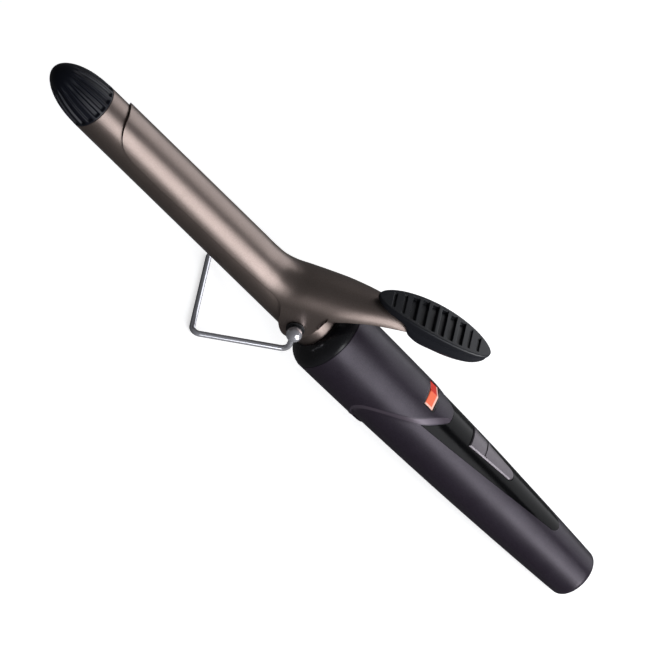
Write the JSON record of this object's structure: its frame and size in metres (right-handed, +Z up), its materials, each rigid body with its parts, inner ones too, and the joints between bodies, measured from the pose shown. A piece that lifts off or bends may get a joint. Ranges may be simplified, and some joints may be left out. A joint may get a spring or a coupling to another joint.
{
  "type": "curling iron",
  "caption": "Curling iron: heated barrel, spring clamp with a slotted thumb rest, fold-away wire stand and a tapered handle with a two-zone key and a power rocker.",
  "frame": {"origin": "middle of the footprint box on the table, with the iron standing on its wire stand and the rear rim of its handle", "axes": "+X towards the cool tip, level with the table; +Y to the iron's left side when it points away from the user; +Z up, the lever side"},
  "size_m": [0.3068, 0.042, 0.068],
  "materials": {
    "barrel_coat": "satin ceramic coating, bronze taupe",
    "clamp_coat": "satin ceramic coating, bronze taupe",
    "cool_tip": "fine satin, blue black",
    "film": "amber polyimide film",
    "spreader": "extruded",
    "electrode": "plain",
    "heating_plate": "sintered",
    "lead_sleeve": "braided glass sleeve",
    "fuse_body": "glazed",
    "pin_steel": "turned",
    "washer": "satin",
    "thumb_rest": "satin, near black",
    "spring_steel": "rolled",
    "stand_chrome": "bright plated",
    "insulator": "pressed",
    "collar": "satin gloss, black",
    "handle_shell": "satin metallic, dark aubergine",
    "screw_steel": "zinc plated",
    "inlay": "gloss black",
    "key": "satin, grey mauve",
    "bracket": "natural nylon",
    "switch_body": "satin",
    "rocker": "translucent red",
    "lamp_glass": "clear",
    "board": "green solder mask",
    "chip": "moulded epoxy",
    "capacitor": "dipped, ochre",
    "screw_brass": "plain",
    "bush": "matt"
  },
  "bodies": {
    "root": {"barrel": "barrel_coat", "cool_tip": "cool_tip", "insulating_film": "film", "upper_heat_spreader": "spreader", "lower_heat_spreader": "spreader", "electrodes": "electrode", "heating_plates": "heating_plate", "heater_leads": "lead_sleeve", "thermal_fuse": "fuse_body", "hinge_pins": "pin_steel", "hinge_washers": "washer", "clamp_spring": "spring_steel", "insulator_sleeve": "insulator", "front_collar": "collar", "barrel_carrier": "insulator", "upper_shell": "handle_shell", "underside_cover": "handle_shell", "cover_screws": "screw_steel", "inlay_panel": "inlay", "key_pin": "pin_steel", "key_bracket": "bracket", "key_switches": "switch_body", "rocker_housing": "collar", "pilot_lamp": "lamp_glass", "circuit_board": "board", "board_screws": "screw_steel", "power_triac": "chip", "film_capacitor": "capacitor", "mains_fuse": "fuse_body", "terminal_block": "bracket", "terminal_screws": "screw_brass", "inlet_bush": "bush", "lead_clamp_bar": "bracket", "lead_clamp_screws": "screw_steel"},
    "clamp": {"clamp": "clamp_coat", "thumb_rest_top": "thumb_rest", "thumb_rest_base": "thumb_rest", "thumb_rest_studs": "pin_steel"},
    "stand": {"stand_wire": "stand_chrome", "stand_balls": "stand_chrome"},
    "heat_key": {"heat_key": "key"},
    "power_rocker": {"power_rocker": "rocker"}
  },
  "joints": [
    {"name": "clamp_hinge", "type": "hinge", "parent": "root", "child": "clamp", "pos_m": [0.01058, 0, 0.02606], "axis": [0, -1, 0], "range_deg": [0, 20], "stiffness_Nm_per_rad": 0.35, "springref_deg": -20.05, "deforming": ["clamp_spring"]},
    {"name": "stand_hinge", "type": "hinge", "parent": "root", "child": "stand", "pos_m": [0.01058, 0, 0.02606], "axis": [0, -1, 0], "range_deg": [-8, 27]},
    {"name": "heat_key_rock", "type": "hinge", "parent": "root", "child": "heat_key", "pos_m": [-0.08746, 0, 0.02545], "axis": [0, 1, 0], "range_deg": [-3.5, 3.5], "stiffness_Nm_per_rad": 0.3},
    {"name": "power_rocker_tilt", "type": "hinge", "parent": "root", "child": "power_rocker", "pos_m": [-0.05082, 0, 0.03088], "axis": [0.9949, 0, 0.1011], "range_deg": [-5, 5]}
  ]
}
